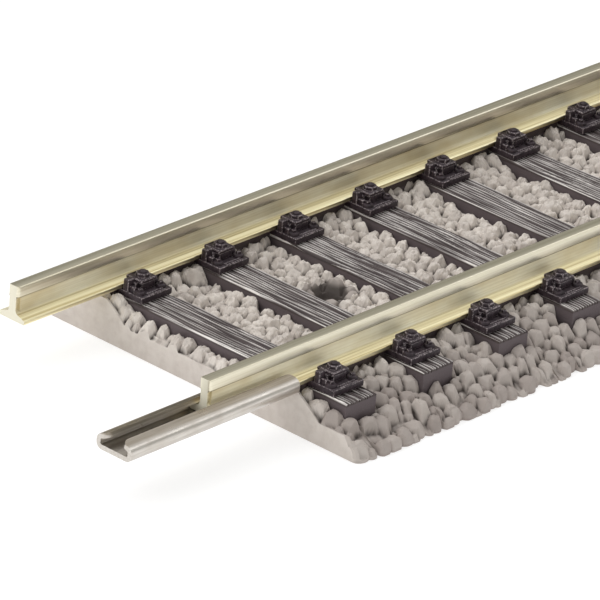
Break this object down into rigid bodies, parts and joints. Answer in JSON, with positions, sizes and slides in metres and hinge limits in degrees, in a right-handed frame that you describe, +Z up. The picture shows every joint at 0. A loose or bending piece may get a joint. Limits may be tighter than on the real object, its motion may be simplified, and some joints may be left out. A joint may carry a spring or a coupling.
{
  "type": "model track section",
  "caption": "Straight model railway track section with flat-bottom rails, chaired sleepers, a moulded ballast bed and a sliding rail joiner at each end.",
  "frame": {"origin": "middle of the ballast bed's underside, on the ground", "axes": "+X along the track, +Y across it towards the left rail, +Z up"},
  "size_m": [0.1274, 0.0312, 0.0061],
  "materials": {
    "ballast_plastic": "moulded ballast stones, matt warm grey",
    "sleeper_plastic": "matt dark brown with moulded wood grain",
    "chair_plastic": "satin near-black brown",
    "rail_metal": "drawn nickel silver, satin with bright edges",
    "joiner_metal": "folded sheet, satin"
  },
  "bodies": {
    "track": {"ballast_bed": "ballast_plastic", "sleeper_01": "sleeper_plastic", "sleeper_02": "sleeper_plastic", "sleeper_03": "sleeper_plastic", "sleeper_04": "sleeper_plastic", "sleeper_05": "sleeper_plastic", "sleeper_06": "sleeper_plastic", "sleeper_07": "sleeper_plastic", "sleeper_08": "sleeper_plastic", "sleeper_09": "sleeper_plastic", "sleeper_10": "sleeper_plastic", "sleeper_11": "sleeper_plastic", "sleeper_12": "sleeper_plastic", "sleeper_13": "sleeper_plastic", "sleeper_strip_left": "sleeper_plastic", "sleeper_strip_right": "sleeper_plastic", "base_plates_left": "chair_plastic", "base_plates_right": "chair_plastic", "clamp_plates_left": "chair_plastic", "clamp_plates_right": "chair_plastic", "clamp_bolts_left": "chair_plastic", "clamp_bolts_right": "chair_plastic", "sleeper_screws_left": "chair_plastic", "sleeper_screws_right": "chair_plastic", "rail_left": "rail_metal", "rail_right": "rail_metal"},
    "front_joiner": {"joiner_front": "joiner_metal"},
    "rear_joiner": {"joiner_rear": "joiner_metal"}
  },
  "joints": [
    {"name": "front_joiner_slide", "type": "slide", "parent": "track", "child": "front_joiner", "axis": [-1, 0, 0], "range_m": [0, 0.0073]},
    {"name": "rear_joiner_slide", "type": "slide", "parent": "track", "child": "rear_joiner", "axis": [1, 0, 0], "range_m": [0, 0.0073]}
  ]
}
